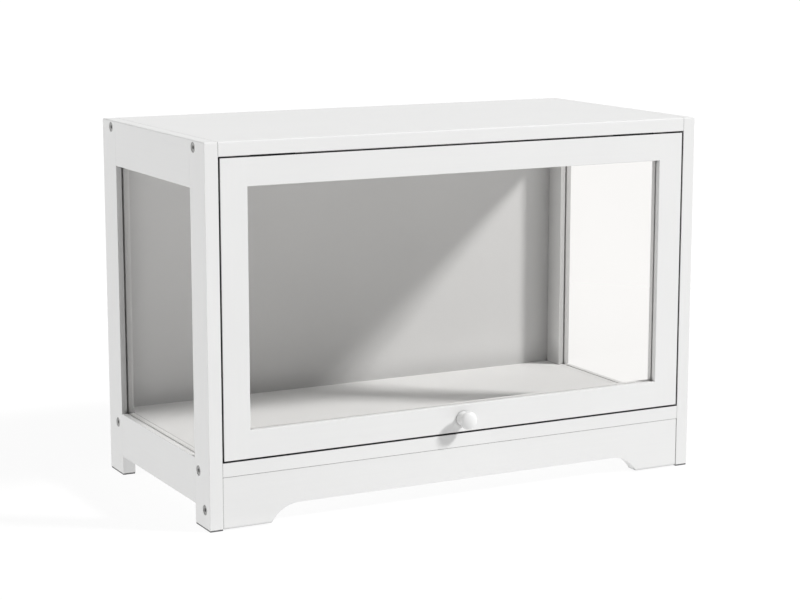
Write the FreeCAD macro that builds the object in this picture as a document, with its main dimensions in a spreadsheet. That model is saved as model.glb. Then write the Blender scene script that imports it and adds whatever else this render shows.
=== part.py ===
"""Acrylic display case: a board frame with acrylic sides and a door that flips up.

+X is to the right, +Y to the back and +Z up. The origin is under the middle of the whole
object, knob included, on the surface that the case stands on.
"""

import FreeCAD
import Part
import Sketcher
import math
import os
import re

Vector = FreeCAD.Vector
Rotation = FreeCAD.Rotation

# Driving sizes in millimetres, and one angle in degrees, grouped by what carries them
SIZES = {
    # Whole case
    "case_width": 600.0,
    "case_depth": 300.0,
    "frame_height": 405.0,
    "board_thick": 15.0,
    "edge_round": 0.5,
    "top_round": 1.5,
    "overrun": 5.0,
    # Foot pads
    "pad_thick": 1.5,
    "pad_inset": 0.5,
    # Side frames
    "post_width": 40.0,
    "upper_rail_height": 50.0,
    "lower_rail_height": 50.0,
    "lower_rail_lift": 20.5,
    # Acrylic panes and the grooves that hold them
    "pane_thick": 2.0,
    "pane_lap": 5.0,
    "groove_width": 2.4,
    "groove_depth": 6.0,
    # Dowels
    "dowel_radius": 3.0,
    "dowel_length": 30.0,
    "dowel_end_play": 0.5,
    "rail_dowel_pitch": 16.0,
    "upper_rail_dowel_rise": 13.5,
    "lower_rail_dowel_rise": 10.0,
    "board_dowel_entry": 9.0,
    "board_dowel_setback": 85.0,
    "shelf_dowel_drop": 3.0,
    # Back panel
    "back_thick": 3.0,
    "back_setback": 9.0,
    "back_groove_play": 0.2,
    # Apron under the shelf
    "apron_recess": 0.6,
    "apron_foot_width": 55.3,
    "arch_rise": 18.5,
    "arch_radius": 37.5,
    # Connecting screws through the sides
    "side_screw_length": 50.0,
    "side_screw_head_radius": 5.5,
    "side_screw_head_height": 3.0,
    "side_screw_neck_radius": 3.5,
    "side_screw_neck_length": 11.0,
    "side_screw_thread_radius": 2.25,
    "side_screw_sink": 0.4,
    "side_screw_play": 0.1,
    "side_screw_socket_radius": 2.3,
    "side_screw_socket_depth": 1.5,
    "front_screw_setback": 30.0,
    "rear_screw_setback": 27.0,
    "shelf_screw_drop": 4.7,
    "apron_screw_setback": 13.9,
    "apron_screw_lift": 19.5,
    # Door
    "door_gap": 2.0,
    "door_thick": 15.0,
    "door_frame_width": 30.0,
    "door_edge_round": 0.5,
    "opening_round": 0.6,
    # Knob and its screw
    "knob_radius": 10.0,
    "knob_reach": 18.5,
    "knob_rim_round": 4.0,
    "knob_rim_setback": 5.5,
    "knob_neck_radius": 5.0,
    "knob_base_radius": 8.0,
    "knob_base_thick": 1.5,
    "knob_bore_depth": 9.0,
    "knob_screw_radius": 2.0,
    "knob_screw_entry": 8.0,
    "knob_screw_head_radius": 4.0,
    "knob_screw_head_height": 2.4,
    # Hinges
    "hinge_length": 45.0,
    "hinge_inset": 61.5,
    "hinge_setback": 1.0,
    "hinge_leaf_thick": 0.8,
    "hinge_leaf_depth": 13.0,
    "hinge_barrel_radius": 0.9,
    "hinge_pin_radius": 0.45,
    "hinge_pin_play": 0.05,
    "hinge_knuckle_play": 0.15,
    "hinge_barrel_play": 0.3,
    "hinge_screw_pitch": 28.0,
    "hinge_screw_setback": 8.0,
    "hinge_screw_radius": 1.1,
    "hinge_screw_length": 9.0,
    "hinge_screw_head_radius": 2.0,
    "hinge_screw_head_height": 1.0,
    # Magnetic catch on the shelf and its strike plate on the door
    "catch_block_width": 28.0,
    "catch_foot_width": 46.0,
    "catch_foot_thick": 3.0,
    "catch_depth": 13.0,
    "catch_height": 12.5,
    "catch_wall": 2.0,
    "magnet_width": 24.0,
    "magnet_depth": 9.0,
    "magnet_thick": 5.6,
    "pole_thick": 1.2,
    "pole_lead": 1.0,
    "catch_screw_pitch": 37.0,
    "catch_screw_radius": 1.4,
    "catch_screw_length": 11.0,
    "catch_screw_head_radius": 2.8,
    "catch_screw_head_height": 1.8,
    "strike_gap": 0.3,
    "strike_length": 30.0,
    "strike_height": 8.4,
    "strike_thick": 1.2,
    "strike_round": 1.0,
    "strike_screw_pitch": 20.0,
    "strike_screw_radius": 1.1,
    "strike_screw_length": 10.0,
    "strike_screw_head_radius": 2.0,
    "strike_screw_head_height": 1.0,
    # Folding door stays
    "stay_case_reach": 20.3,
    "stay_case_drop": 18.5,
    "stay_door_reach": 18.3,
    "stay_door_drop": 90.5,
    "stay_arm_width": 7.0,
    "stay_arm_thick": 1.5,
    "stay_play": 0.3,
    "stay_tail": 6.0,
    "stay_plate_thick": 1.2,
    "stay_plate_front": 5.5,
    "stay_plate_rear": 11.0,
    "stay_plate_height": 36.0,
    "stay_plate_round": 2.0,
    "stay_stop_radius": 1.0,
    "stay_stop_gap": 0.2,
    "stay_rivet_radius": 1.5,
    "stay_rivet_play": 0.06,
    "stay_rivet_head_radius": 2.4,
    "stay_rivet_head_thick": 0.8,
    "stay_bracket_thick": 1.5,
    "stay_bracket_height": 18.0,
    "stay_bracket_ear": 4.5,
    "stay_bracket_foot": 15.0,
    "stay_plate_screw_pitch": 24.0,
    "stay_plate_screw_radius": 1.2,
    "stay_plate_screw_length": 10.0,
    "stay_plate_screw_head_radius": 2.4,
    "stay_plate_screw_head_height": 1.2,
    "stay_bracket_screw_pitch": 9.0,
    "stay_bracket_screw_radius": 1.3,
    "stay_bracket_screw_length": 11.0,
    "stay_bracket_screw_head_radius": 2.4,
    "stay_bracket_screw_head_height": 1.4,
    "door_swing": 90.0,
}

# Planes that several pieces share, as formulas in the sizes
FRONT = "((knob_reach - case_depth) / 2)"
BACK = "((knob_reach + case_depth) / 2)"
SIDE = "(-case_width / 2)"
INNER = "(-case_width / 2 + board_thick)"
TOP = "(pad_thick + frame_height)"
LINTEL = "(pad_thick + frame_height - board_thick)"
UPPER_RAIL_BASE = "(pad_thick + frame_height - upper_rail_height)"
LOWER_RAIL_BASE = "(pad_thick + lower_rail_lift)"
SHELF_TOP = "(pad_thick + lower_rail_lift + lower_rail_height)"
DOOR_SIDE = f"({INNER} + door_gap)"
DOOR_BASE = f"({SHELF_TOP} + door_gap)"
DOOR_TOP = f"({LINTEL} - door_gap)"
DOOR_REAR = f"({FRONT} + door_thick)"
OPENING_SIDE = f"({DOOR_SIDE} + door_frame_width)"
OPENING_BASE = f"({DOOR_BASE} + door_frame_width)"
OPENING_TOP = f"({DOOR_TOP} - door_frame_width)"
KNOB_HEIGHT = f"({DOOR_BASE} + door_frame_width / 2)"
HINGE_Y = f"({FRONT} + hinge_setback)"
HINGE_Z = f"({DOOR_TOP} + door_gap / 2)"

# The sign along X of each side, and its name
SIDES = {-1: "left", 1: "right"}

# Knuckles along a hinge, counted over both leaves
KNUCKLES = 3

TURNS = {
    "x": Rotation(Vector(0, 0, 1), Vector(1, 0, 0)),
    "-x": Rotation(Vector(0, 0, 1), Vector(-1, 0, 0)),
    "y": Rotation(Vector(0, 0, 1), Vector(0, 1, 0)),
    "-y": Rotation(Vector(0, 0, 1), Vector(0, -1, 0)),
    "z": Rotation(),
    "-z": Rotation(Vector(0, 0, 1), Vector(0, 0, -1)),
}

doc = FreeCAD.newDocument("DisplayCase")
nodes = []


def fill_sheet():
    """Put every driving size into the spreadsheet under its own alias."""
    sheet = doc.addObject("Spreadsheet::Sheet", "Sizes")
    for row, (name, value) in enumerate(SIZES.items(), start=1):
        sheet.set(f"A{row}", name)
        sheet.set(f"B{row}", str(value))
        sheet.setAlias(f"B{row}", name)
    doc.recompute()
    return sheet


def formula(text):
    """Turn a sum of size names into an expression on the sheet."""
    return re.sub(r"[a-z]\w*", lambda word: f"Sizes.{word[0]}" if word[0] in SIZES else word[0], text)


def size(name):
    """A driving size's value in the sheet."""
    return float(sheet.get(name))


def place(piece, spot, direction="z"):
    """Put a piece at a spot, with its own +Z turned to a direction."""
    piece.Placement = FreeCAD.Placement(Vector(), TURNS[direction])
    for axis, text in zip("xyz", spot):
        piece.setExpression(f"Placement.Base.{axis}", formula(text))


def shift(spot, direction, amount):
    """Move a spot by an amount along a direction such as "x" or "-z"."""
    sign = "-" if direction.startswith("-") else "+"
    moved = list(spot)
    index = "xyz".index(direction[-1])
    moved[index] = f"({moved[index]} {sign} ({amount}))"
    return tuple(moved)


def box(name, low, high):
    """A block between its lowest and highest corners."""
    block = doc.addObject("Part::Box", name)
    for side, start, end in zip(("Length", "Width", "Height"), low, high):
        block.setExpression(side, formula(f"{end} - {start}"))
    place(block, low)
    return block


def rod(name, radius, length, spot, direction):
    """A cylinder from a spot along a direction."""
    cylinder = doc.addObject("Part::Cylinder", name)
    cylinder.setExpression("Radius", formula(radius))
    cylinder.setExpression("Height", formula(length))
    place(cylinder, spot, direction)
    return cylinder


def cone(name, near_radius, far_radius, length, spot, direction):
    """A cone from a spot along a direction."""
    taper = doc.addObject("Part::Cone", name)
    taper.setExpression("Radius1", formula(near_radius))
    taper.setExpression("Radius2", formula(far_radius))
    taper.setExpression("Height", formula(length))
    place(taper, spot, direction)
    return taper


def join(name, pieces):
    """Fuse pieces into one solid, or into one cutting tool."""
    fused = doc.addObject("Part::MultiFuse", name)
    fused.Shapes = pieces
    return fused


def group(name, pieces):
    """Keep like pieces together as separate solids."""
    bundle = doc.addObject("Part::Compound", name)
    bundle.Links = pieces
    return bundle


def cut(name, body, tools):
    """Take one or more tools out of a body."""
    result = doc.addObject("Part::Cut", name)
    result.Base = body
    result.Tool = tools[0] if len(tools) == 1 else join(f"{name}_tools", tools)
    return result


def mirror(name, source):
    """The mirror image of a left piece on the right."""
    image = doc.addObject("Part::Mirroring", name)
    image.Source = source
    image.Normal = Vector(1, 0, 0)
    return image


def node(label, piece):
    """Name a finished sub-part and keep it for the hand-out."""
    piece.Label = label
    nodes.append(piece)
    return piece


def pair(label, piece):
    """Name a left piece and add its mirror image on the right."""
    node(f"left_{label}", piece)
    node(f"right_{label}", mirror(f"right_{label}", piece))


def rounded(name, blank, radii):
    """Round a block's edges; each edge is named by its side in x, y and z as -1, 0 or 1."""
    doc.recompute()
    middle = blank.Shape.BoundBox.Center
    edges = []
    for index, edge in enumerate(blank.Shape.Edges, start=1):
        offset = edge.CenterOfMass - middle
        side = tuple((value > 0) - (value < 0) if abs(value) > Part.Precision.confusion() else 0
                     for value in offset)
        if side in radii:
            radius = size(radii[side])
            edges.append((index, radius, radius))
    fillet = doc.addObject("Part::Fillet", name)
    fillet.Base = blank
    fillet.Edges = edges
    return fillet


def all_edges(radius):
    """The same rounding on all twelve edges of a block."""
    signs = (-1, 0, 1)
    sides = [(x, y, z) for x in signs for y in signs for z in signs]
    return {side: radius for side in sides if side.count(0) == 1}


def board(name, low, high, softer=()):
    """A board with its edges broken, and with softer edges where the case's top shows them."""
    radii = all_edges("edge_round")
    radii.update(dict.fromkeys(softer, "top_round"))
    return rounded(f"{name}_rounded", box(f"{name}_blank", low, high), radii)


def screw(name, sizes, spot, direction, sunk=True):
    """A plain screw whose sizes in the sheet start with a prefix; its head is sunk or stands proud."""
    shank = rod(f"{name}_shank", f"{sizes}_radius", f"{sizes}_length", spot, direction)
    if sunk:
        head = cone(f"{name}_head", f"{sizes}_head_radius", f"{sizes}_radius",
                    f"{sizes}_head_height", spot, direction)
    else:
        start = shift(spot, direction, f"-{sizes}_head_height")
        head = rod(f"{name}_head", f"{sizes}_head_radius", f"{sizes}_head_height", start, direction)
    return join(name, [shank, head])


def side_screw_places():
    """Height and depth of the five connecting screws in each side."""
    front = f"({FRONT} + front_screw_setback)"
    rear = f"({BACK} - rear_screw_setback)"
    top = f"({TOP} - board_thick / 2)"
    shelf = f"({SHELF_TOP} - board_thick / 2 - shelf_screw_drop)"
    apron = (f"({FRONT} + apron_screw_setback)", "(pad_thick + apron_screw_lift)")
    return {
        "top_front": (front, top),
        "top_rear": (rear, top),
        "shelf_front": (front, shelf),
        "shelf_rear": (rear, shelf),
        "apron": apron,
    }


def side_screw(name, where, side, play="0"):
    """A connecting screw with a sunk head, a neck in the side and a thread in the board's end."""
    direction = "x" if side < 0 else "-x"
    spot = (f"({side} * case_width / 2)",) + side_screw_places()[where]
    seat = shift(spot, direction, f"side_screw_sink - {play}")
    neck = f"side_screw_neck_radius + {play}"
    head = cone(f"{name}_head", f"side_screw_head_radius + {play}", neck, "side_screw_head_height",
                seat, direction)
    shank = rod(f"{name}_neck", neck, f"side_screw_neck_length + 2 * {play}", seat, direction)
    thread = rod(f"{name}_thread", "side_screw_thread_radius", f"side_screw_length + 2 * {play}",
                 seat, direction)
    return join(name, [head, shank, thread])


def side_screw_hole(name, where, side):
    """The hole for a connecting screw, open at the side's outer face."""
    direction = "x" if side < 0 else "-x"
    spot = (f"({side} * case_width / 2)",) + side_screw_places()[where]
    mouth = rod(f"{name}_mouth", "side_screw_head_radius + side_screw_play",
                "side_screw_sink + overrun", shift(spot, direction, "-overrun"), direction)
    return join(name, [mouth, side_screw(f"{name}_form", where, side, "side_screw_play")])


def side_screws():
    """Five connecting screws with hexagon sockets in the left side."""
    screws = []
    for where in side_screw_places():
        name = f"screw_{where}"
        spot = (SIDE,) + side_screw_places()[where]
        socket = doc.addObject("Part::Prism", f"{name}_socket")
        socket.setExpression("Circumradius", formula("side_screw_socket_radius"))
        socket.setExpression("Height", formula("side_screw_socket_depth + overrun"))
        place(socket, shift(spot, "x", "side_screw_sink - overrun"), "x")
        screws.append(cut(name, side_screw(f"{name}_solid", where, -1), [socket]))
    return group("side_screw_set", screws)


def rail_dowel_places():
    """Height of the dowels in each rail, and the joints at the front and rear posts."""
    heights = []
    for base, rise in ((UPPER_RAIL_BASE, "upper_rail_dowel_rise"),
                       (LOWER_RAIL_BASE, "lower_rail_dowel_rise")):
        heights.append(f"({base} + {rise})")
        heights.append(f"({base} + {rise} + rail_dowel_pitch)")
    return heights, (f"({FRONT} + post_width)", f"({BACK} - post_width)")


def rail_dowels(name, joint, play="0"):
    """Dowels across the joint between the left rails and a post."""
    heights, _ = rail_dowel_places()
    middle = f"({SIDE} + board_thick / 2)"
    half = f"(dowel_length / 2 + {play})"
    return [rod(f"{name}_{index}", "dowel_radius", f"2 * {half}",
                (middle, f"({joint} - {half})", height), "y")
            for index, height in enumerate(heights)]


def board_dowels(name, side, play="0"):
    """Dowels between a side's rails and the ends of the top board and the shelf."""
    direction = "x" if side < 0 else "-x"
    start = f"({side} * (case_width / 2 - board_thick + board_dowel_entry + {play}))"
    depths = (f"({FRONT} + board_dowel_setback)", f"({BACK} - board_dowel_setback)")
    heights = (f"({TOP} - board_thick / 2)", f"({SHELF_TOP} - board_thick / 2 - shelf_dowel_drop)")
    return [rod(f"{name}_{depth_index}{height_index}", "dowel_radius", f"dowel_length + 2 * {play}",
                (start, depth, height), direction)
            for depth_index, depth in enumerate(depths)
            for height_index, height in enumerate(heights)]


def side_pane_groove(name):
    """The groove round the left side opening, in the middle of the frame's thickness."""
    middle = f"({SIDE} + board_thick / 2)"
    low = (f"({middle} - groove_width / 2)", f"({FRONT} + post_width - groove_depth)",
           f"({SHELF_TOP} - groove_depth)")
    high = (f"({middle} + groove_width / 2)", f"({BACK} - post_width + groove_depth)",
            f"({UPPER_RAIL_BASE} + groove_depth)")
    return box(name, low, high)


def back_groove(name):
    """The groove for the back panel, cut into the rear posts, the top board and the shelf."""
    rear = f"({BACK} - back_setback)"
    reach = "(case_width / 2 - board_thick + groove_depth)"
    low = (f"(-{reach})", f"({rear} - back_thick - back_groove_play)", f"({SHELF_TOP} - groove_depth)")
    high = (reach, f"({rear} + back_groove_play)", f"({LINTEL} + groove_depth)")
    return box(name, low, high)


def post(name, front_side):
    """A post of the left frame with its grooves, dowel holes and screw holes."""
    near = FRONT if front_side else f"({BACK} - post_width)"
    joint = rail_dowel_places()[1][0 if front_side else 1]
    softer = [(-1, 0, 1), (0, -1 if front_side else 1, 1)]
    blank = board(name, (SIDE, near, "pad_thick"), (INNER, f"({near} + post_width)", TOP), softer)
    tools = [side_pane_groove(f"{name}_pane_groove")]
    tools += rail_dowels(f"{name}_dowel_hole", joint, "dowel_end_play")
    screws = ("top_front", "shelf_front", "apron") if front_side else ("top_rear", "shelf_rear")
    tools += [side_screw_hole(f"{name}_{where}_hole", where, -1) for where in screws]
    if front_side:
        tools += stay_plate_screws(f"{name}_stay_hole", -1)
    else:
        tools.append(back_groove(f"{name}_back_groove"))
    return cut(name, blank, tools)


def rail(name, base, height, softer=()):
    """A rail of the left frame between the posts."""
    low = (SIDE, f"({FRONT} + post_width)", base)
    high = (INNER, f"({BACK} - post_width)", f"({base} + {height})")
    blank = board(name, low, high, softer)
    tools = [side_pane_groove(f"{name}_pane_groove")]
    for index, joint in enumerate(rail_dowel_places()[1]):
        tools += rail_dowels(f"{name}_dowel_hole_{index}", joint, "dowel_end_play")
    tools += board_dowels(f"{name}_board_dowel_hole", -1, "dowel_end_play")
    return cut(name, blank, tools)


def side_pane():
    """The acrylic pane of the left side, standing on the bottom of its groove."""
    middle = f"({SIDE} + board_thick / 2)"
    low = (f"({middle} - pane_thick / 2)", f"({FRONT} + post_width - pane_lap)",
           f"({SHELF_TOP} - groove_depth)")
    high = (f"({middle} + pane_thick / 2)", f"({BACK} - post_width + pane_lap)",
            f"({UPPER_RAIL_BASE} + pane_lap)")
    return box("side_pane", low, high)


def side_frames():
    """Posts, rails, panes, dowels and screws of both sides."""
    pair("front_post", post("front_post", True))
    pair("rear_post", post("rear_post", False))
    pair("upper_rail", rail("upper_rail", UPPER_RAIL_BASE, "upper_rail_height", [(-1, 0, 1)]))
    pair("lower_rail", rail("lower_rail", LOWER_RAIL_BASE, "lower_rail_height"))
    pair("side_pane", side_pane())
    dowels = []
    for index, joint in enumerate(rail_dowel_places()[1]):
        dowels += rail_dowels(f"rail_dowel_{index}", joint)
    pair("rail_dowels", group("rail_dowel_set", dowels))
    pair("side_screws", side_screws())


def foot_pads():
    """A thin pad under each post."""
    for name, near in (("front", FRONT), ("rear", f"({BACK} - post_width)")):
        low = (f"({SIDE} + pad_inset)", f"({near} + pad_inset)", "0")
        high = (f"({INNER} - pad_inset)", f"({near} + post_width - pad_inset)", "pad_thick")
        pair(f"{name}_foot_pad", box(f"{name}_pad", low, high))


def top_board():
    """The top board between the side frames, with softer front and rear edges."""
    softer = [(0, -1, 1), (0, 1, 1)]
    blank = board("top", (INNER, FRONT, LINTEL), (f"(-{INNER})", BACK, TOP), softer)
    tools = [back_groove("top_back_groove")]
    for side, hand in SIDES.items():
        name = f"top_{hand}"
        tools += [side_screw_hole(f"{name}_{where}", where, side) for where in ("top_front", "top_rear")]
        tools += board_dowels(f"{name}_dowel_hole", side, "dowel_end_play")
        tools.append(hinge_notch(f"{name}_notch", side))
        tools += hinge_screws(f"{name}_hinge_hole", side, "z")
    return cut("top", blank, tools)


def bottom_shelf():
    """The shelf between the lower rails, flush with their tops."""
    low = (INNER, FRONT, f"({SHELF_TOP} - board_thick)")
    blank = board("shelf", low, (f"(-{INNER})", BACK, SHELF_TOP))
    tools = [back_groove("shelf_back_groove")] + catch_screws("shelf_catch_hole")
    for side, hand in SIDES.items():
        name = f"shelf_{hand}"
        tools += [side_screw_hole(f"{name}_{where}", where, side) for where in ("shelf_front", "shelf_rear")]
        tools += board_dowels(f"{name}_dowel_hole", side, "dowel_end_play")
    return cut("shelf", blank, tools)


def front_apron():
    """The board under the shelf, cut to a low arch between two feet."""
    near = f"({FRONT} + apron_recess)"
    far = f"({near} + board_thick)"
    blank = board("apron", (INNER, near, "pad_thick"), (f"(-{INNER})", far, f"({SHELF_TOP} - board_thick)"))
    run = "sqrt(2 * arch_radius * arch_rise - arch_rise * arch_rise)"
    flat = f"(case_width / 2 - board_thick - apron_foot_width - {run})"
    crown = "(pad_thick + arch_rise)"
    tools = [box("arch_middle", (f"(-{flat})", f"({near} - overrun)", f"({crown} - arch_radius)"),
                 (flat, f"({far} + overrun)", crown))]
    for side, hand in SIDES.items():
        spot = (f"({side} * {flat})", f"({near} - overrun)", f"({crown} - arch_radius)")
        tools.append(rod(f"arch_{hand}_shoulder", "arch_radius", "board_thick + 2 * overrun", spot, "y"))
        tools.append(side_screw_hole(f"apron_{hand}_end", "apron", side))
    return cut("apron", blank, tools)


def back_panel():
    """The thin back panel, standing on the bottom of the shelf's groove."""
    rear = f"({BACK} - back_setback)"
    reach = "(case_width / 2 - board_thick + pane_lap)"
    low = (f"(-{reach})", f"({rear} - back_thick)", f"({SHELF_TOP} - groove_depth)")
    return box("back_panel_sheet", low, (reach, rear, f"({LINTEL} + pane_lap)"))


def door_pane_groove(name):
    """The groove round the door's opening, in the middle of its thickness."""
    middle = f"({FRONT} + door_thick / 2)"
    grip = "(door_frame_width - groove_depth)"
    low = (f"({DOOR_SIDE} + {grip})", f"({middle} - groove_width / 2)", f"({DOOR_BASE} + {grip})")
    high = (f"(-({low[0]}))", f"({middle} + groove_width / 2)", f"({DOOR_TOP} - {grip})")
    return box(name, low, high)


def opening_edges(name, front):
    """What rounding takes off the four edges of the door's opening on one face."""
    face, inward, outward = (FRONT, "+", "-") if front else (DOOR_REAR, "-", "+")
    axis = f"({face} {inward} opening_round)"
    outside = f"({face} {outward} overrun)"
    near, far = (outside, axis) if front else (axis, outside)
    left, right = f"({OPENING_SIDE} - opening_round)", f"(opening_round - {OPENING_SIDE})"
    bottom, top = f"({OPENING_BASE} - opening_round)", f"({OPENING_TOP} + opening_round)"
    bars = []
    for place_name, x in (("left", left), ("right", right)):
        bars.append(rod(f"{name}_{place_name}", "opening_round", f"{top} - {bottom} + 2 * overrun",
                        (x, axis, f"({bottom} - overrun)"), "z"))
    for place_name, z in (("bottom", bottom), ("top", top)):
        bars.append(rod(f"{name}_{place_name}", "opening_round", f"{right} - {left} + 2 * overrun",
                        (f"({left} - overrun)", axis, z), "x"))
    return cut(name, box(f"{name}_block", (left, near, bottom), (right, far, top)), bars)


def door_dowels(name, side, play="0"):
    """Dowels between a stile and the door's two rails."""
    direction = "x" if side < 0 else "-x"
    half = f"(dowel_length / 2 + {play})"
    start = f"({side} * (-{DOOR_SIDE} - door_frame_width + {half}))"
    middle = f"({FRONT} + door_thick / 2)"
    heights = (f"({DOOR_TOP} - door_frame_width / 2)", f"({DOOR_BASE} + door_frame_width / 2)")
    return [rod(f"{name}_{index}", "dowel_radius", f"2 * {half}", (start, middle, height), direction)
            for index, height in enumerate(heights)]


def door_stile():
    """The left stile of the door, over the door's full height."""
    low = (DOOR_SIDE, FRONT, DOOR_BASE)
    high = (OPENING_SIDE, DOOR_REAR, DOOR_TOP)
    outer = {side: radius for side, radius in all_edges("door_edge_round").items() if side[0] < 1}
    blank = rounded("stile_rounded", box("stile_blank", low, high), outer)
    tools = [door_pane_groove("stile_pane_groove")] + door_dowels("stile_dowel_hole", -1, "dowel_end_play")
    tools += [opening_edges("stile_front_edges", True), opening_edges("stile_rear_edges", False)]
    return cut("stile", blank, tools + stay_bracket_screws("stile_stay_hole", -1))


def door_rail(name, base, outer_side, tools):
    """A rail of the door between the stiles, with its outer edges rounded."""
    low = (OPENING_SIDE, FRONT, base)
    high = (f"(-{OPENING_SIDE})", DOOR_REAR, f"({base} + door_frame_width)")
    outer = dict.fromkeys([(0, -1, outer_side), (0, 1, outer_side)], "door_edge_round")
    blank = rounded(f"{name}_rounded", box(f"{name}_blank", low, high), outer)
    tools = tools + [door_pane_groove(f"{name}_pane_groove")]
    tools += [opening_edges(f"{name}_front_edges", True), opening_edges(f"{name}_rear_edges", False)]
    for side, hand in SIDES.items():
        tools += door_dowels(f"{name}_{hand}_dowel_hole", side, "dowel_end_play")
    return cut(name, blank, tools)


def door_pane():
    """The door's acrylic pane, standing on the bottom of its groove."""
    middle = f"({FRONT} + door_thick / 2)"
    low = (f"({DOOR_SIDE} + door_frame_width - pane_lap)", f"({middle} - pane_thick / 2)",
           f"({DOOR_BASE} + door_frame_width - groove_depth)")
    high = (f"(-({low[0]}))", f"({middle} + pane_thick / 2)", f"({DOOR_TOP} - door_frame_width + pane_lap)")
    return box("door_sheet", low, high)


def knob():
    """A knob with a flat head on a flared foot, turned about the door's normal."""
    body = doc.addObject("PartDesign::Body", "knob_turning")
    sketch = body.newObject("Sketcher::SketchObject", "knob_profile")
    plane = [item for item in body.Origin.OriginFeatures if item.Role == "XY_Plane"][0]
    sketch.AttachmentSupport = [(plane, "")]
    sketch.MapMode = "FlatFace"
    foot, lip, neck = size("knob_base_radius"), size("knob_base_thick"), size("knob_neck_radius")
    bore, depth, tip = size("knob_screw_radius"), size("knob_bore_depth"), size("knob_reach")
    rim_radius, setback = size("knob_rim_round"), size("knob_rim_setback")
    rim_reach = size("knob_radius") - rim_radius
    waist = tip - setback - rim_radius
    corners = [Vector(bore, 0), Vector(foot, 0), Vector(foot, -lip), Vector(neck, -waist),
               Vector(rim_reach, -waist), Vector(0, -tip), Vector(0, -depth), Vector(bore, -depth)]
    for first, last in ((0, 1), (1, 2), (2, 3), (3, 4), (5, 6), (6, 7), (7, 0)):
        sketch.addGeometry(Part.LineSegment(corners[first], corners[last]))
    # The crown's radius lets it run on into the rim, and both outlines run anticlockwise
    crown_radius = (rim_reach ** 2 + setback ** 2 - rim_radius ** 2) / (2 * (setback - rim_radius))
    turn = math.atan2(rim_reach, crown_radius - setback) - math.pi / 2
    circle = Part.Circle(Vector(0, crown_radius - tip), Vector(0, 0, 1), crown_radius)
    sketch.addGeometry(Part.ArcOfCircle(circle, -math.pi / 2, turn))
    circle = Part.Circle(Vector(rim_reach, setback - tip), Vector(0, 0, 1), rim_radius)
    sketch.addGeometry(Part.ArcOfCircle(circle, turn, math.pi / 2))
    start, end, centre = 1, 2, 3
    face, edge, taper, back, axis, bottom, wall, crown, rim = range(9)
    joints = [(face, end, edge, start), (edge, end, taper, start), (taper, end, back, start),
              (crown, start, axis, start), (axis, end, bottom, start), (bottom, end, wall, start),
              (wall, end, face, start)]
    for joint in joints:
        sketch.addConstraint(Sketcher.Constraint("Coincident", *joint))
    for joint in ((back, end, rim, end), (crown, end, rim, start)):
        sketch.addConstraint(Sketcher.Constraint("Tangent", *joint))
    for line in (face, back, bottom):
        sketch.addConstraint(Sketcher.Constraint("Horizontal", line))
    for line in (edge, axis, wall):
        sketch.addConstraint(Sketcher.Constraint("Vertical", line))
    sketch.addConstraint(Sketcher.Constraint("PointOnObject", face, start, -1))
    sketch.addConstraint(Sketcher.Constraint("PointOnObject", crown, centre, -2))
    sketch.addConstraint(Sketcher.Constraint("PointOnObject", crown, start, -2))
    measures = [
        (Sketcher.Constraint("Radius", rim, rim_radius), "knob_rim_round"),
        (Sketcher.Constraint("DistanceX", -1, 1, rim, centre, rim_reach), "knob_radius - knob_rim_round"),
        (Sketcher.Constraint("DistanceY", rim, centre, -1, 1, tip - setback),
         "knob_reach - knob_rim_setback"),
        (Sketcher.Constraint("DistanceY", crown, start, -1, 1, tip), "knob_reach"),
        (Sketcher.Constraint("DistanceX", -1, 1, taper, end, neck), "knob_neck_radius"),
        (Sketcher.Constraint("DistanceX", -1, 1, face, end, foot), "knob_base_radius"),
        (Sketcher.Constraint("DistanceY", edge, end, -1, 1, lip), "knob_base_thick"),
        (Sketcher.Constraint("DistanceX", -1, 1, face, start, bore), "knob_screw_radius"),
        (Sketcher.Constraint("DistanceY", bottom, end, -1, 1, depth), "knob_bore_depth"),
    ]
    for constraint, text in measures:
        index = sketch.addConstraint(constraint)
        sketch.setExpression(f"Constraints[{index}]", formula(text))
    turning = body.newObject("PartDesign::Revolution", "knob_turn")
    turning.Profile = sketch
    turning.ReferenceAxis = (sketch, ["V_Axis"])
    place(body, ("0", FRONT, KNOB_HEIGHT))
    return body


def knob_screw(name):
    """The screw through the door's bottom rail into the knob."""
    spot = ("0", DOOR_REAR, KNOB_HEIGHT)
    shank = rod(f"{name}_shank", "knob_screw_radius", "door_thick + knob_screw_entry", spot, "-y")
    head = rod(f"{name}_head", "knob_screw_head_radius", "knob_screw_head_height", spot, "y")
    return join(name, [shank, head])


def door():
    """Frame, pane, dowels and knob of the door."""
    pair("door_stile", door_stile())
    holes = []
    for side, hand in SIDES.items():
        holes.append(hinge_notch(f"door_{hand}_notch", side))
        holes += hinge_screws(f"door_{hand}_hinge_hole", side, "-z")
    node("door_top_rail", door_rail("top_rail", f"({DOOR_TOP} - door_frame_width)", 1, holes))
    holes = strike_screws("rail_strike_hole") + [knob_screw("rail_knob_hole")]
    node("door_bottom_rail", door_rail("bottom_rail", DOOR_BASE, -1, holes))
    node("door_pane", door_pane())
    dowels = door_dowels("left_door_dowel", -1) + door_dowels("right_door_dowel", 1)
    node("door_dowels", group("door_dowel_set", dowels))
    node("door_knob", knob())
    node("knob_screw", knob_screw("knob_fixing"))


def hinge_middle(side):
    """The middle of a hinge along the case's width."""
    return f"({side} * (-{DOOR_SIDE} - hinge_inset))"


def hinge_notch(name, side):
    """The room round a hinge's barrel in the board and the door."""
    length = "(hinge_length + 2 * hinge_barrel_play)"
    spot = (f"({hinge_middle(side)} - {length} / 2)", HINGE_Y, HINGE_Z)
    return rod(name, "hinge_barrel_radius + hinge_barrel_play", length, spot, "x")


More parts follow.
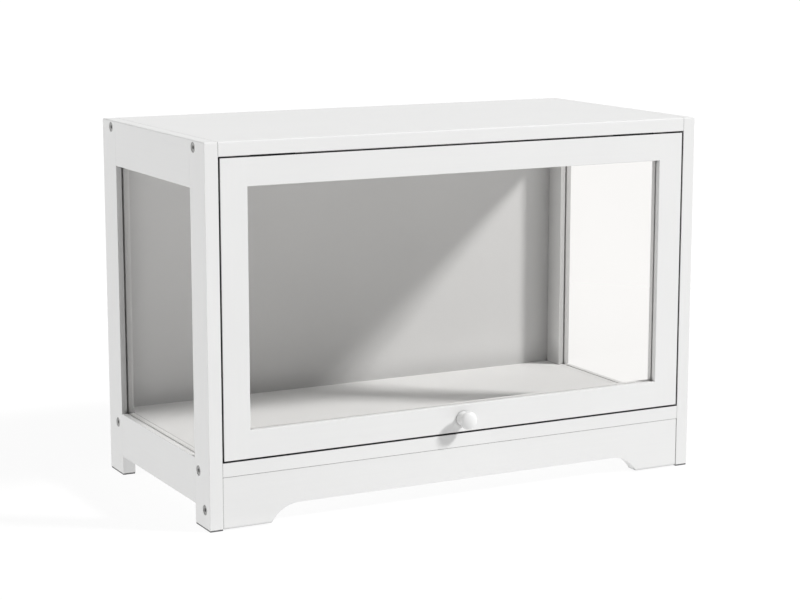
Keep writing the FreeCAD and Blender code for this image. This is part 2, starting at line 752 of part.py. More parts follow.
def hinge_screws(name, side, direction):
    """Two sunk screws of one hinge leaf, up into the top board or down into the door."""
    offset = "(door_gap / 2 - hinge_leaf_thick)"
    height = f"({HINGE_Z} + {offset})" if direction == "z" else f"({HINGE_Z} - {offset})"
    depth = f"({HINGE_Y} + hinge_screw_setback)"
    return [screw(f"{name}_{index}", "hinge_screw",
                  (f"({hinge_middle(side)} + {step} * hinge_screw_pitch / 2)", depth, height), direction)
            for index, step in enumerate(SIDES)]


def hinge_leaf(name, direction, own_knuckles):
    """A leaf with its knuckles; the room for the other leaf's knuckles is cut back."""
    middle = hinge_middle(-1)
    share = f"(hinge_length / {KNUCKLES})"
    start = f"({middle} - hinge_length / 2)"
    near = f"({HINGE_Y} + (hinge_pin_radius + hinge_barrel_radius) / 2)"
    sign = "+" if direction == "z" else "-"
    outer = f"({HINGE_Z} {sign} door_gap / 2)"
    inner = f"({outer} {'-' if sign == '+' else '+'} hinge_leaf_thick)"
    bottom, top = (inner, outer) if sign == "+" else (outer, inner)
    plate = box(f"{name}_plate", (start, near, bottom),
                (f"({start} + hinge_length)", f"({HINGE_Y} + hinge_leaf_depth)", top))
    barrel = rod(f"{name}_barrel", "hinge_barrel_radius", "hinge_length", (start, HINGE_Y, HINGE_Z), "x")
    bore_start = (f"({start} - overrun)", HINGE_Y, HINGE_Z)
    bore_radius = "hinge_pin_radius + hinge_pin_play"
    tools = [rod(f"{name}_bore", bore_radius, "hinge_length + 2 * overrun", bore_start, "x")]
    room = "(hinge_barrel_radius + hinge_knuckle_play)"
    for index in range(KNUCKLES):
        if index not in own_knuckles:
            low = f"({start} + {index} * {share} - hinge_knuckle_play)"
            spot = (low, HINGE_Y, HINGE_Z)
            tools.append(rod(f"{name}_room_{index}", room, f"{share} + 2 * hinge_knuckle_play", spot, "x"))
    tools += hinge_screws(f"{name}_screw_hole", -1, direction)
    return cut(name, join(f"{name}_solid", [plate, barrel]), tools)


def hinges():
    """Two slim butt hinges in the gap over the door."""
    pair("hinge_case_leaf", hinge_leaf("case_leaf", "z", (0, 2)))
    pair("hinge_door_leaf", hinge_leaf("door_leaf", "-z", (1,)))
    start = (f"({hinge_middle(-1)} - hinge_length / 2)", HINGE_Y, HINGE_Z)
    pair("hinge_pin", rod("hinge_pin", "hinge_pin_radius", "hinge_length", start, "x"))
    upper = hinge_screws("left_case_leaf_screw", -1, "z") + hinge_screws("right_case_leaf_screw", 1, "z")
    node("hinge_case_screws", group("hinge_case_screw_set", upper))
    lower = hinge_screws("left_door_leaf_screw", -1, "-z") + hinge_screws("right_door_leaf_screw", 1, "-z")
    node("hinge_door_screws", group("hinge_door_screw_set", lower))


def catch_screws(name):
    """Two screws down through the catch's feet into the shelf."""
    depth = f"({DOOR_REAR} + strike_thick + strike_gap + pole_lead + catch_depth / 2)"
    height = f"({SHELF_TOP} + catch_foot_thick)"
    return [screw(f"{name}_{index}", "catch_screw", (f"({step} * catch_screw_pitch / 2)", depth, height),
                  "-z", sunk=False) for index, step in enumerate(SIDES)]


def strike_screws(name):
    """Two sunk screws that hold the strike plate on the door's bottom rail."""
    height = strike_height()
    depth = f"({DOOR_REAR} + strike_thick)"
    return [screw(f"{name}_{index}", "strike_screw",
                  (f"({step} * strike_screw_pitch / 2)", depth, height), "-y")
            for index, step in enumerate(SIDES)]


def strike_height():
    """The height of the magnet's middle, and so of the strike plate."""
    return f"({SHELF_TOP} + catch_height - catch_wall - pole_thick - magnet_thick / 2)"


def catch():
    """The magnetic catch behind the door's bottom rail and the plate that it holds."""
    pole_front = f"({DOOR_REAR} + strike_thick + strike_gap)"
    front = f"({pole_front} + pole_lead)"
    rear = f"({front} + catch_depth)"
    middle = strike_height()
    magnet_low, magnet_high = f"({middle} - magnet_thick / 2)", f"({middle} + magnet_thick / 2)"
    pocket_rear = f"({front} + magnet_depth)"
    half = "(magnet_width / 2)"
    feet = box("catch_feet", ("(-catch_foot_width / 2)", front, SHELF_TOP),
               ("(catch_foot_width / 2)", rear, f"({SHELF_TOP} + catch_foot_thick)"))
    block = box("catch_block", ("(-catch_block_width / 2)", front, SHELF_TOP),
                ("(catch_block_width / 2)", rear, f"({SHELF_TOP} + catch_height)"))
    pocket = box("catch_pocket", (f"(-{half})", f"({front} - overrun)", f"({magnet_low} - pole_thick)"),
                 (half, pocket_rear, f"({magnet_high} + pole_thick)"))
    node("catch_housing", cut("housing", join("housing_solid", [feet, block]),
                              [pocket] + catch_screws("housing_hole")))
    node("catch_magnet", box("magnet", (f"(-{half})", front, magnet_low), (half, pocket_rear, magnet_high)))
    plates = [box("lower_pole", (f"(-{half})", pole_front, f"({magnet_low} - pole_thick)"),
                  (half, pocket_rear, magnet_low)),
              box("upper_pole", (f"(-{half})", pole_front, magnet_high),
                  (half, pocket_rear, f"({magnet_high} + pole_thick)"))]
    node("catch_pole_plates", group("pole_set", plates))
    node("catch_screws", group("catch_screw_set", catch_screws("catch_screw")))
    low = ("(-strike_length / 2)", DOOR_REAR, f"({middle} - strike_height / 2)")
    high = ("(strike_length / 2)", f"({DOOR_REAR} + strike_thick)", f"({middle} + strike_height / 2)")
    corners = dict.fromkeys([(-1, 0, -1), (-1, 0, 1), (1, 0, -1), (1, 0, 1)], "strike_round")
    blank = rounded("strike_rounded", box("strike_blank", low, high), corners)
    node("strike_plate", cut("strike", blank, strike_screws("strike_hole")))
    node("strike_screws", group("strike_screw_set", strike_screws("strike_screw")))


def stay_layers():
    """Where each layer of the left stay starts, counted inwards from the post's inner face."""
    long_arm = "(stay_plate_thick + stay_play)"
    short_arm = f"({long_arm} + stay_arm_thick + stay_play)"
    ear = f"({short_arm} + stay_arm_thick + stay_play)"
    return long_arm, short_arm, ear


CASE_PIVOT = (f"({HINGE_Y} + stay_case_reach)", f"({HINGE_Z} - stay_case_drop)")
DOOR_PIVOT = (f"({HINGE_Y} + stay_door_reach)", f"({HINGE_Z} - stay_door_drop)")
ELBOW = (f"({HINGE_Y} + stay_case_reach + stay_door_reach)", f"({HINGE_Z} - stay_case_drop - stay_door_drop)")


def stay_plate_screws(name, side):
    """Two sunk screws of the case plate, above and below its rivet."""
    direction = "-x" if side < 0 else "x"
    start = f"({side} * (-{INNER} - stay_plate_thick))"
    depth, height = CASE_PIVOT
    return [screw(f"{name}_{index}", "stay_plate_screw",
                  (start, depth, f"({height} + {step} * stay_plate_screw_pitch / 2)"), direction)
            for index, step in enumerate(SIDES)]


def stay_bracket_screws(name, side):
    """Two screws of the door bracket, forward into the stile."""
    layer = stay_layers()[2]
    middle = f"({side} * (-{INNER} - {layer} - stay_bracket_thick - stay_bracket_foot / 2))"
    depth = f"({DOOR_REAR} + stay_bracket_thick)"
    height = DOOR_PIVOT[1]
    return [screw(f"{name}_{index}", "stay_bracket_screw",
                  (middle, depth, f"({height} + {step} * stay_bracket_screw_pitch / 2)"), "-y", sunk=False)
            for index, step in enumerate(SIDES)]


def stay_stop(name):
    """The stop pin's form: the long arm's tail lands on it when the door is fully open."""
    length = "sqrt(stay_door_reach * stay_door_reach + stay_door_drop * stay_door_drop)"
    along_y = f"((stay_door_drop * sin(door_swing) - stay_door_reach * cos(door_swing)) / {length})"
    along_z = f"((stay_door_reach * sin(door_swing) + stay_door_drop * cos(door_swing)) / {length})"
    side = "(stay_arm_width / 2 + stay_stop_gap + stay_stop_radius)"
    depth = f"({CASE_PIVOT[0]} + stay_tail * {along_y} + {side} * {along_z})"
    height = f"({CASE_PIVOT[1]} + stay_tail * {along_z} - {side} * {along_y})"
    reach = "stay_plate_thick + stay_play + stay_arm_thick"
    return rod(name, "stay_stop_radius", reach, (INNER, depth, height), "x")


def stay_plate():
    """The plate on the post that carries the long arm, with its stop pin."""
    depth, height = CASE_PIVOT
    low = (INNER, f"({depth} - stay_plate_front)", f"({height} - stay_plate_height / 2)")
    high = (f"({INNER} + stay_plate_thick)", f"({depth} + stay_plate_rear)",
            f"({height} + stay_plate_height / 2)")
    corners = dict.fromkeys([(0, -1, -1), (0, -1, 1), (0, 1, -1), (0, 1, 1)], "stay_plate_round")
    blank = rounded("stay_plate_rounded", box("stay_plate_blank", low, high), corners)
    hole = rod("stay_plate_hole", "stay_rivet_radius", "stay_plate_thick + 2 * overrun",
               (f"({INNER} - overrun)", depth, height), "x")
    solid = join("stay_plate_solid", [blank, stay_stop("stay_stop_pin")])
    return cut("stay_plate", solid, [hole] + stay_plate_screws("stay_plate_screw_hole", -1))


def flat_bar(name, layer, pivot, reach, drop, radii, tail=None):
    """An arm with round ends and two rivet holes, hanging from its pivot at a slant."""
    body = doc.addObject("PartDesign::Body", f"{name}_bar")
    sketch = body.newObject("Sketcher::SketchObject", f"{name}_outline")
    plane = [item for item in body.Origin.OriginFeatures if item.Role == "YZ_Plane"][0]
    sketch.AttachmentSupport = [(plane, "")]
    sketch.MapMode = "FlatFace"
    length, half = math.hypot(size(reach), size(drop)), size("stay_arm_width") / 2
    above = size(tail) if tail else 0
    sketch.addGeometry(Part.LineSegment(Vector(half, above), Vector(half, -length)))
    sketch.addGeometry(Part.LineSegment(Vector(-half, above), Vector(-half, -length)))
    sketch.addGeometry(Part.Arc(Vector(half, above), Vector(0, above + half), Vector(-half, above)))
    sketch.addGeometry(Part.Arc(Vector(-half, -length), Vector(0, -length - half), Vector(half, -length)))
    normal, bore = Vector(0, 0, 1), size("stay_rivet_radius")
    sketch.addGeometry(Part.Circle(Vector(0, 0), normal, bore))
    sketch.addGeometry(Part.Circle(Vector(0, -length), normal, bore))
    start, end, centre = 1, 2, 3
    # Each arc runs anticlockwise: the upper from right to left, the lower from left to right
    for joint in ((0, start, 2, start), (1, start, 2, end), (1, end, 3, start), (0, end, 3, end)):
        sketch.addConstraint(Sketcher.Constraint("Tangent", *joint))
    sketch.addConstraint(Sketcher.Constraint("Vertical", 0))
    sketch.addConstraint(Sketcher.Constraint("PointOnObject", 3, centre, -2))
    sketch.addConstraint(Sketcher.Constraint("Coincident", 4, centre, -1, 1))
    sketch.addConstraint(Sketcher.Constraint("Coincident", 5, centre, 3, centre))
    measures = [
        (Sketcher.Constraint("Radius", 3, half), "stay_arm_width / 2"),
        (Sketcher.Constraint("DistanceY", 3, centre, -1, 1, length),
         f"sqrt({reach} * {reach} + {drop} * {drop})"),
        (Sketcher.Constraint("DistanceY", -1, 1, 2, centre, above), tail or "0"),
        (Sketcher.Constraint("Radius", 4, bore), radii[0]),
        (Sketcher.Constraint("Radius", 5, bore), radii[1]),
    ]
    for constraint, text in measures:
        index = sketch.addConstraint(constraint)
        sketch.setExpression(f"Constraints[{index}]", formula(text))
    pad = body.newObject("PartDesign::Pad", f"{name}_pad")
    pad.Profile = sketch
    pad.setExpression("Length", formula("stay_arm_thick"))
    place(body, (f"({INNER} + {layer})",) + pivot)
    body.Placement.Rotation = Rotation(Vector(1, 0, 0), 0)
    body.setExpression("Placement.Rotation.Angle", formula(f"atan2({reach}; {drop})"))
    return body


def rivet(name, spot, heads):
    """A rivet along +X from a spot; heads are (start, thickness) pairs counted from the spot."""
    first, last = heads[0][0], heads[-1][0]
    pieces = [rod(f"{name}_shank", "stay_rivet_radius", f"({last}) - ({first})",
                  shift(spot, "x", first), "x")]
    for index, (start, thick) in enumerate(heads):
        if thick != "0":
            pieces.append(rod(f"{name}_head_{index}", "stay_rivet_head_radius", thick,
                              shift(spot, "x", start), "x"))
    return join(name, pieces)


def stay_door_bracket():
    """The angle bracket on the stile that carries the short arm."""
    ear_start = stay_layers()[2]
    depth, height = DOOR_PIVOT
    near, far = f"({INNER} + {ear_start})", f"({INNER} + {ear_start} + stay_bracket_thick)"
    low, high = f"({height} - stay_bracket_height / 2)", f"({height} + stay_bracket_height / 2)"
    ear = box("bracket_ear", (near, DOOR_REAR, low), (far, f"({depth} + stay_bracket_ear)", high))
    foot = box("bracket_foot", (near, DOOR_REAR, low),
               (f"({far} + stay_bracket_foot)", f"({DOOR_REAR} + stay_bracket_thick)", high))
    hole = rod("bracket_hole", "stay_rivet_radius", "stay_bracket_thick + 2 * overrun",
               (f"({near} - overrun)", depth, height), "x")
    holes = [hole] + stay_bracket_screws("bracket_screw_hole", -1)
    return cut("bracket", join("bracket_solid", [ear, foot]), holes)


def stays():
    """Two folding stays, behind the door's stiles; each is a parallelogram with the door."""
    long_start, short_start, ear_start = stay_layers()
    running = "(stay_rivet_radius + stay_rivet_play)"
    head, far = "stay_rivet_head_thick", f"({ear_start} + stay_bracket_thick)"
    pair("stay_plate", stay_plate())
    pair("stay_long_arm", flat_bar("long_arm", long_start, CASE_PIVOT, "stay_door_reach", "stay_door_drop",
                                   (running, "stay_rivet_radius"), "stay_tail"))
    pair("stay_short_arm", flat_bar("short_arm", short_start, DOOR_PIVOT, "stay_case_reach",
                                    "stay_case_drop", (running, running)))
    pair("stay_door_bracket", stay_door_bracket())
    elbow = rivet("elbow_rivet", (INNER,) + ELBOW,
                  [(f"({long_start} - {head})", head), (ear_start, head)])
    pair("stay_elbow_rivet", elbow)
    case_rivet = rivet("case_rivet", (INNER,) + CASE_PIVOT, [("0", "0"), (short_start, head)])
    door_rivet = rivet("door_rivet", (INNER,) + DOOR_PIVOT,
                       [(f"({short_start} - stay_play - {head})", head), (far, head)])
    node("stay_case_rivets", group("case_rivet_set", [case_rivet, mirror("case_rivet_image", case_rivet)]))
    node("stay_door_rivets", group("door_rivet_set", [door_rivet, mirror("door_rivet_image", door_rivet)]))
    screws = stay_plate_screws("left_plate_screw", -1) + stay_plate_screws("right_plate_screw", 1)
    node("stay_plate_screws", group("stay_plate_screw_set", screws))
    screws = stay_bracket_screws("left_bracket_screw", -1) + stay_bracket_screws("right_bracket_screw", 1)
    node("stay_bracket_screws", group("stay_bracket_screw_set", screws))


def boards():
    """Top board, shelf, apron, back panel and the dowels that locate the boards."""
    node("top_board", top_board())
    node("bottom_shelf", bottom_shelf())
    node("front_apron", front_apron())
    node("back_panel", back_panel())
    dowels = board_dowels("left_board_dowel", -1) + board_dowels("right_board_dowel", 1)
    node("board_dowels", group("board_dowel_set", dowels))


def check_objects():
    """Stop if any object failed or any sub-part has no sound solid."""
    for item in doc.Objects:
        if "Invalid" in item.State or "Error" in item.State:
            raise RuntimeError(f"{item.Label}: {item.State}")
    for item in nodes:
        if item.Shape.isNull() or not item.Shape.isValid() or not item.Shape.Solids:
            raise RuntimeError(f"{item.Label}: no sound solid")


def write_parts():
    """Write each sub-part under its own name, and print what it holds."""
    os.makedirs("parts", exist_ok=True)
    for item in nodes:
        item.Shape.exportStep(os.path.join("parts", f"{item.Label}.step"))
        bounds = item.Shape.BoundBox
        corners = [bounds.XMin, bounds.YMin, bounds.ZMin, bounds.XMax, bounds.YMax, bounds.ZMax]
        print(item.Label, len(item.Shape.Solids), round(item.Shape.Volume, 1),
              [round(value, 2) for value in corners])


sheet = fill_sheet()
side_frames()
foot_pads()
boards()
door()
hinges()
catch()
stays()
doc.recompute()
check_objects()
write_parts()
print(len(nodes), "sub-parts")
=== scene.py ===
"""Looks, light and camera for the acrylic display case."""

import math

import bpy
from mathutils import Matrix, Vector

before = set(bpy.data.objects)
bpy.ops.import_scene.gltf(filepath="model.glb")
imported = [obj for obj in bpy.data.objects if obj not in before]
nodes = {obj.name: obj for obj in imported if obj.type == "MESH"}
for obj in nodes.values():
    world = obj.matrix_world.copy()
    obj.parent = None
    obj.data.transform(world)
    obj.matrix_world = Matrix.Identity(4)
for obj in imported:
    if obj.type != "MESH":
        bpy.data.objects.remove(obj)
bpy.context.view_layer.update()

# Camera, solved from the case's corners in the photograph, in metres and radians, with its lens in mm
CAMERA_PLACE = Vector((-1.09406, -2.08535, 0.6252))
CAMERA_YAW = 0.4816
CAMERA_PITCH = -0.1794
CAMERA_LENS = 93.96
SENSOR_WIDTH = 36.0

# Each lamp: the direction of its light, its distance and width, and the level of a white that faces it
LAMPS = {
    "key": (Vector((0.651, -0.465, 0.600)), 18.0, 2.2, 0.895),
    "fill": (Vector((-0.950, 0.100, 0.300)), 8.0, 5.5, 0.375),
    "top": (Vector((0.05, -0.2, 1.0)), 8.0, 6.5, 0.175),
}
LAMP_AIM = Vector((0, 0, 0.2))
SKY_LEVEL = 0.21

# The floor's reach each way, its drop below the feet, its colour and roughness
FLOOR_REACH = 40.0
FLOOR_DROP = 0.0002
FLOOR_COLOUR = (0.85, 0.85, 0.85, 1)
FLOOR_ROUGH = 0.9

# How white the floor is by itself to the camera, its share near the case, and where the shadow fades out
GLOW = 1.05
GLOW_SHARE = 0.86
SHADOW_REACH = (0.45, 1.3)

# How much of the light that the floor throws back comes from all of it, shaded or not
BOUNCE_SHARE = 0.8

# Painted shade in gaps: the colour darkens over this reach, from this openness down, to this share of
# itself
CREVICE_REACH = 0.006
CREVICE_RANGE = (0.22, 0.56)
CREVICE_SHADE = 0.03

# Between these depths, at the case's front, a wider range takes over and paints darker shade into the gap
# round the door
FRONT_START = (-0.1355, -0.1375)
FRONT_RANGE = (0.22, 0.85)

# Painted shade on upright faces: they darken towards corners in the same way, softly, to a share of their
# own
CORNER_REACH = 0.035
CORNER_RANGE = (0.50, 0.95)
POST_CORNER_SHADE = 0.66
BACK_CORNER_SHADE = 0.72

# Heights between which that painted corner shade sets in, above the feet
CORNER_START = (0.065, 0.075)

# A point in its own piece's groove is less open to that piece than this, and upright ones keep this share
# of their colour there under the painted shade
OWN_RANGE = (0.70, 0.90)
OWN_GROOVE_SHADE = 0.62

# Painted shade in the boards' seams with flush pieces: they darken further over a short reach
SEAM_REACH = 0.0016
SEAM_RANGE = (0.35, 0.85)
BOARD_SEAM_SHADE = 0.5

# Painted shade at the boards' cut ends: from this far out, their seams are darkest
END_START = (0.2835, 0.2845)
END_RANGE = (0.55, 1.0)
END_SEAM_SHADE = 0.0

OPENNESS_SAMPLES = 8

# Noise: cells to the metre, detail and roughness
GRAIN = (420.0, 4.0, 0.6)
PAINT_PATCHES = (9.0, 3.0)
PEEL = (1400.0, 2.0)
FOIL_PATCHES = (6.0, 3.0)
FOIL_FINE = (900.0, 2.0)
HAZE = (14.0, 3.0)
SCRATCHES = (900.0, 4.0, 0.6)
METAL_PATCHES = (60.0, 3.0)
PLASTIC_PATCHES = (70.0, 2.0)
PLASTIC_DETAIL = 3.0
FLECKS = (500.0, 4.0, 0.6)

# Bumps: height in metres and strength
GRAIN_BUMP = (0.00012, 0.35)
PEEL_BUMP = (0.00004, 0.45)
FOIL_BUMP = (0.00003, 0.4)
SCRATCH_BUMP = (0.00002, 0.5)
PLASTIC_STRENGTH = 0.5
FLECK_BUMP = (0.0001, 0.4)

# How patterns lie: plain, along the paint's grain, along the dowels, and along two kinds of metal piece
PLAIN = (1.0, 1.0, 1.0)
GRAIN_STRETCH = 0.035
DOWEL_STRETCH = (0.08, 1.0, 1.0)
ZINC_STRETCH = (1.0, 1.0, 0.1)
HINGE_STRETCH = (0.1, 1.0, 1.0)

# Patterns are read between these values, and shift by up to so many metres from piece to piece
PATTERN_RANGE = (0.3, 0.7)
PATTERN_SHIFT = 37.0

# Paint: its tone and how far it varies, how much less blue it has, the grain's share, and its gloss
PAINT_TONE = 0.80
TONE_CHANGE = 0.014
PAINT_WARMTH = 0.004
GRAIN_SHARE = 0.35
PAINT_ROUGH = (0.56, 0.66)
PAINT_GLOSS = 0.3
PAINT_IOR = 1.45
KNOB_TONE = 0.79
KNOB_ROUGH = (0.30, 0.38)
KNOB_GLOSS = 0.36

# The acrylic: its own colour, what each face lets through, its refractive index, its roughness and how
# much of its gloss shows
ACRYLIC_COLOUR = (0.99, 0.99, 0.989, 1)
PANE_COLOUR = (0.980, 0.977, 0.973, 1)
ACRYLIC_IOR = 1.49
ACRYLIC_ROUGH = (0.01, 0.03)
PANE_GLOSS = 0.4

# The two colours that each other material varies between, and its roughness
# The back foil's two colours sit below the paint's tone as painted shade for the inside of the case
FOIL_SHADED = (0.672, 0.671, 0.669), (0.696, 0.695, 0.693)
FOIL_ROUGH = (0.38, 0.46)
BEECH = (0.42, 0.27, 0.15), (0.62, 0.45, 0.28)
BEECH_ROUGH = (0.55, 0.7)
ZINC = (0.50, 0.50, 0.51), (0.62, 0.62, 0.63)
ZINC_ROUGH = (0.28, 0.42)
SCREW = (0.28, 0.28, 0.275), (0.38, 0.38, 0.375)
SCREW_ROUGH = (0.42, 0.56)
HINGE = (0.010, 0.010, 0.011), (0.022, 0.022, 0.023)
HINGE_ROUGH = (0.45, 0.6)
CATCH = (0.74, 0.74, 0.73), (0.80, 0.80, 0.79)
CATCH_ROUGH = (0.4, 0.5)
MAGNET = (0.05, 0.05, 0.052), (0.09, 0.09, 0.092)
MAGNET_ROUGH = (0.55, 0.7)
PAD = (0.10, 0.10, 0.105), (0.16, 0.16, 0.165)
PAD_ROUGH = (0.8, 0.95)

# Grains of the moulded materials: cells to the metre and height in metres
CATCH_GRAINS = (2500.0, 0.00003)
MAGNET_GRAINS = (1800.0, 0.00004)
PAD_GRAINS = (2200.0, 0.00015)


def material(name):
    """A new material, its node tree and its shader."""
    made = bpy.data.materials.new(name)
    made.use_nodes = True
    tree = made.node_tree
    shader = next(node for node in tree.nodes if node.type == "BSDF_PRINCIPLED")
    return made, tree, shader


def add(tree, kind, **inputs):
    """A node with its inputs set by name, and links made for inputs that are sockets."""
    node = tree.nodes.new(kind)
    for label, value in inputs.items():
        socket = node.inputs[label.replace("_", " ")]
        if isinstance(value, bpy.types.NodeSocket):
            tree.links.new(value, socket)
        else:
            socket.default_value = value
    return node


def math_node(tree, operation, *values):
    """A math node on values or sockets."""
    node = tree.nodes.new("ShaderNodeMath")
    node.operation = operation
    for index, value in enumerate(values):
        if isinstance(value, bpy.types.NodeSocket):
            tree.links.new(value, node.inputs[index])
        else:
            node.inputs[index].default_value = value
    return node.outputs[0]


def mix_shader(tree, share, first, second):
    """A mix of two shader nodes, with the share of the second."""
    node = tree.nodes.new("ShaderNodeMixShader")
    tree.links.new(share, node.inputs[0])
    tree.links.new(first.outputs[0], node.inputs[1])
    tree.links.new(second.outputs[0], node.inputs[2])
    return node


def place_coordinates(tree, stretch):
    """Object coordinates in metres, stretched along the grain and shifted from piece to piece."""
    coordinates = tree.nodes.new("ShaderNodeTexCoord")
    info = tree.nodes.new("ShaderNodeObjectInfo")
    shift = math_node(tree, "MULTIPLY", info.outputs["Random"], PATTERN_SHIFT)
    moved = tree.nodes.new("ShaderNodeVectorMath")
    moved.operation = "ADD"
    tree.links.new(coordinates.outputs["Object"], moved.inputs[0])
    tree.links.new(shift, moved.inputs[1])
    mapping = tree.nodes.new("ShaderNodeMapping")
    mapping.inputs["Scale"].default_value = stretch
    tree.links.new(moved.outputs[0], mapping.inputs["Vector"])
    return mapping.outputs[0]


def noise(tree, vector, scale, detail, roughness=0.5):
    """Noise in the range 0 to 1 with its cells 1/scale metres wide."""
    node = add(tree, "ShaderNodeTexNoise", Vector=vector, Scale=scale, Detail=detail, Roughness=roughness)
    return node.outputs["Fac"]


def ramp(tree, value, low, high):
    """A colour that runs between two as a value goes through the pattern range."""
    node = tree.nodes.new("ShaderNodeValToRGB")
    for element, position, colour in zip(node.color_ramp.elements, PATTERN_RANGE, (low, high)):
        element.position = position
        element.color = (*colour, 1)
    tree.links.new(value, node.inputs[0])
    return node.outputs[0]


def spread(tree, value, low, high, start, end):
    """A value carried from one range to another, and held at its ends."""
    node = tree.nodes.new("ShaderNodeMapRange")
    tree.links.new(value, node.inputs["Value"])
    for label, number in (("From Min", low), ("From Max", high)):
        node.inputs[label].default_value = number
    for label, number in (("To Min", start), ("To Max", end)):
        if isinstance(number, bpy.types.NodeSocket):
            tree.links.new(number, node.inputs[label])
        else:
            node.inputs[label].default_value = number
    return node.outputs[0]


def level(tree, value, low, high):
    """A number that runs between two as a value goes through the pattern range."""
    return spread(tree, value, *PATTERN_RANGE, low, high)


def bump(tree, height, distance, strength, under=None):
    """A bump from a height, laid over an earlier bump."""
    node = add(tree, "ShaderNodeBump", Height=height, Distance=distance, Strength=strength)
    if under is not None:
        tree.links.new(under, node.inputs["Normal"])
    return node.outputs[0]


def openness(tree, reach, own_only=False):
    """How open a point is within a reach in metres, to all pieces or to its own piece alone."""
    shade = tree.nodes.new("ShaderNodeAmbientOcclusion")
    shade.samples = OPENNESS_SAMPLES
    shade.only_local = own_only
    shade.inputs["Distance"].default_value = reach
    return shade.outputs["AO"]


def painted_gap_shade(tree, colour, groove=1.0, seam=None, corner=None, ends=False, front=False):
    """A colour with shade painted into the gaps between pieces, the darker the less open a point is.

    In a piece's own grooves it keeps the share given for grooves. In seams with flush pieces it goes down
    to the share given for seams, and towards corners to the share given for corners. With ends, the painted
    shade in the seams at a board's cut ends is the darkest. With front, the gap round the door gets more
    painted shade.
    """
    kept = spread(tree, openness(tree, CREVICE_REACH), *CREVICE_RANGE, CREVICE_SHADE, 1.0)
    place = tree.nodes.new("ShaderNodeSeparateXYZ")
    tree.links.new(tree.nodes.new("ShaderNodeTexCoord").outputs["Object"], place.inputs[0])
    if front:
        gap = spread(tree, openness(tree, CREVICE_REACH), *FRONT_RANGE, CREVICE_SHADE, 1.0)
        kept = spread(tree, place.outputs["Y"], *FRONT_START, kept, gap)
    if seam is not None:
        close = spread(tree, openness(tree, SEAM_REACH), *SEAM_RANGE, seam, 1.0)
        kept = math_node(tree, "MULTIPLY", kept, close)
    if ends:
        cut = spread(tree, openness(tree, SEAM_REACH), *END_RANGE, END_SEAM_SHADE, 1.0)
        out = math_node(tree, "ABSOLUTE", place.outputs["X"])
        kept = math_node(tree, "MULTIPLY", kept, spread(tree, out, *END_START, 1.0, cut))
    own = math_node(tree, "MAXIMUM", kept, groove)
    kept = spread(tree, openness(tree, CREVICE_REACH, True), *OWN_RANGE, own, kept)
    if corner is not None:
        shaded = spread(tree, openness(tree, CORNER_REACH), *CORNER_RANGE, corner, 1.0)
        shaded = spread(tree, place.outputs["Z"], *CORNER_START, 1.0, shaded)
        kept = math_node(tree, "MINIMUM", kept, shaded)
    darker = tree.nodes.new("ShaderNodeVectorMath")
    darker.operation = "SCALE"
    tree.links.new(colour, darker.inputs[0])
    tree.links.new(kept, darker.inputs["Scale"])
    return darker.outputs[0]


def paint(name, grain, tone=PAINT_TONE, rough=PAINT_ROUGH, gloss=PAINT_GLOSS, **shades):
    """Satin white paint on board: faint grain along one axis, fine peel, soft changes of tone, and shade
    painted into its gaps.
    """
    made, tree, shader = material(name)
    along = list(PLAIN)
    along["xyz".index(grain)] = GRAIN_STRETCH
    streaks = noise(tree, place_coordinates(tree, along), *GRAIN)
    plain = place_coordinates(tree, PLAIN)
    patches = noise(tree, plain, *PAINT_PATCHES)
    peel = noise(tree, plain, *PEEL)
    blend = math_node(tree, "ADD", math_node(tree, "MULTIPLY", streaks, GRAIN_SHARE),
                      math_node(tree, "MULTIPLY", patches, 1.0 - GRAIN_SHARE))
    low, high = [(white, white, white - PAINT_WARMTH) for white in (tone - TONE_CHANGE, tone + TONE_CHANGE)]
    colour = painted_gap_shade(tree, ramp(tree, blend, low, high), **shades)
    tree.links.new(colour, shader.inputs["Base Color"])
    tree.links.new(level(tree, patches, *rough), shader.inputs["Roughness"])
    normal = bump(tree, streaks, *GRAIN_BUMP)
    normal = bump(tree, peel, *PEEL_BUMP, normal)
    tree.links.new(normal, shader.inputs["Normal"])
    shader.inputs["IOR"].default_value = PAINT_IOR
    shader.inputs["Specular IOR Level"].default_value = gloss
    return made


def back_face():
    """The back panel's smooth white foil, its tone set below the paint's as painted shade for the inside of
    the case, and darkening towards its corners as painted shade.
    """
    made, tree, shader = material("back_foil")
    plain = place_coordinates(tree, PLAIN)
    patches = noise(tree, plain, *FOIL_PATCHES)
    colour = painted_gap_shade(tree, ramp(tree, patches, *FOIL_SHADED), corner=BACK_CORNER_SHADE)
    tree.links.new(colour, shader.inputs["Base Color"])
    tree.links.new(level(tree, patches, *FOIL_ROUGH), shader.inputs["Roughness"])
    fine = noise(tree, plain, *FOIL_FINE)
    tree.links.new(bump(tree, fine, *FOIL_BUMP), shader.inputs["Normal"])
    return made


